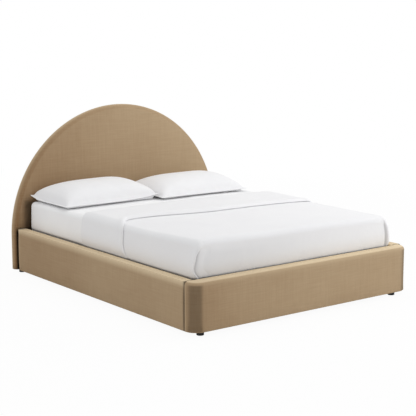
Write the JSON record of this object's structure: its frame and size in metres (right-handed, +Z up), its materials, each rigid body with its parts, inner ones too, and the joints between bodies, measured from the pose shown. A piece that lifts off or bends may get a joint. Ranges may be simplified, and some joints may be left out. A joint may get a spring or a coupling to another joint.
{
  "type": "upholstered platform bed",
  "caption": "Low upholstered platform bed with a half-round padded headboard, rounded rails and footboard, a slatted base, and a made-up mattress with pillows.",
  "frame": {"origin": "middle of the floor area that the bed covers, on the floor under the glides", "axes": "+Z up, +Y towards the headboard, +X to the right of a person who stands at the foot end and looks at the headboard"},
  "size_m": [1.8, 2.18, 1.1638],
  "materials": {
    "tan_upholstery": "soft short-pile weave, mottled",
    "black_dust_cloth": "matt",
    "foam": "open cell, matt",
    "plywood": "bare",
    "frame_timber": "bare, planed",
    "slat_timber": "bare, sanded",
    "zinc_plated_steel": "bright zinc",
    "black_steel": "satin powder coat",
    "black_plastic": "matt",
    "webbing": "woven tape",
    "ticking": "quilted ticking",
    "white_cotton": "plain woven cotton, matt"
  },
  "bodies": {
    "bed_frame": {"headboard_cover": "tan_upholstery", "side_rail_cover_left": "tan_upholstery", "side_rail_cover_right": "tan_upholstery", "footboard_cover": "tan_upholstery", "headboard_back_cloth": "black_dust_cloth", "headboard_foam": "foam", "side_rail_foam_left": "foam", "side_rail_foam_right": "foam", "footboard_foam": "foam", "headboard_panel": "plywood", "head_post_left": "frame_timber", "head_post_right": "frame_timber", "head_bottom_rail": "frame_timber", "head_middle_rail": "frame_timber", "head_top_rail": "frame_timber", "head_centre_stile": "frame_timber", "side_rail_board_left": "frame_timber", "slat_cleat_left": "frame_timber", "side_rail_board_right": "frame_timber", "slat_cleat_right": "frame_timber", "footboard_board": "frame_timber", "centre_beam": "frame_timber", "slat_01": "slat_timber", "slat_02": "slat_timber", "slat_03": "slat_timber", "slat_04": "slat_timber", "slat_05": "slat_timber", "slat_06": "slat_timber", "slat_07": "slat_timber", "slat_08": "slat_timber", "slat_09": "slat_timber", "slat_10": "slat_timber", "slat_11": "slat_timber", "slat_12": "slat_timber", "slat_13": "slat_timber", "slat_14": "slat_timber", "head_slot_plates": "zinc_plated_steel", "cleat_screws": "zinc_plated_steel", "bracket_screws": "zinc_plated_steel", "rail_hook_plates": "black_steel", "foot_corner_brackets": "black_steel", "beam_shoes": "black_steel", "front_glides": "black_plastic", "head_glides": "black_plastic", "centre_leg_1": "black_plastic", "centre_leg_2": "black_plastic", "centre_leg_3": "black_plastic", "slat_strap_left": "webbing", "slat_strap_right": "webbing"},
    "dressed_mattress": {"mattress": "ticking", "fitted_sheet": "white_cotton", "top_sheet": "white_cotton", "quilt": "white_cotton"},
    "left_pillow": {"pillow_left": "white_cotton"},
    "right_pillow": {"pillow_right": "white_cotton"},
    "levelling_foot_1_body": {"levelling_foot_1": "black_steel"},
    "levelling_foot_2_body": {"levelling_foot_2": "black_steel"},
    "levelling_foot_3_body": {"levelling_foot_3": "black_steel"}
  },
  "joints": [
    {"name": "mattress_lift", "type": "slide", "parent": "bed_frame", "child": "dressed_mattress", "axis": [0, 0, 1], "range_m": [0, 0.35]},
    {"name": "left_pillow_lift", "type": "slide", "parent": "dressed_mattress", "child": "left_pillow", "axis": [0, 0, 1], "range_m": [0, 0.3]},
    {"name": "right_pillow_lift", "type": "slide", "parent": "dressed_mattress", "child": "right_pillow", "axis": [0, 0, 1], "range_m": [0, 0.3]},
    {"name": "levelling_foot_1_screw", "type": "slide", "parent": "bed_frame", "child": "levelling_foot_1_body", "axis": [0, 0, -1], "range_m": [0, 0.012]},
    {"name": "levelling_foot_2_screw", "type": "slide", "parent": "bed_frame", "child": "levelling_foot_2_body", "axis": [0, 0, -1], "range_m": [0, 0.012]},
    {"name": "levelling_foot_3_screw", "type": "slide", "parent": "bed_frame", "child": "levelling_foot_3_body", "axis": [0, 0, -1], "range_m": [0, 0.012]}
  ]
}
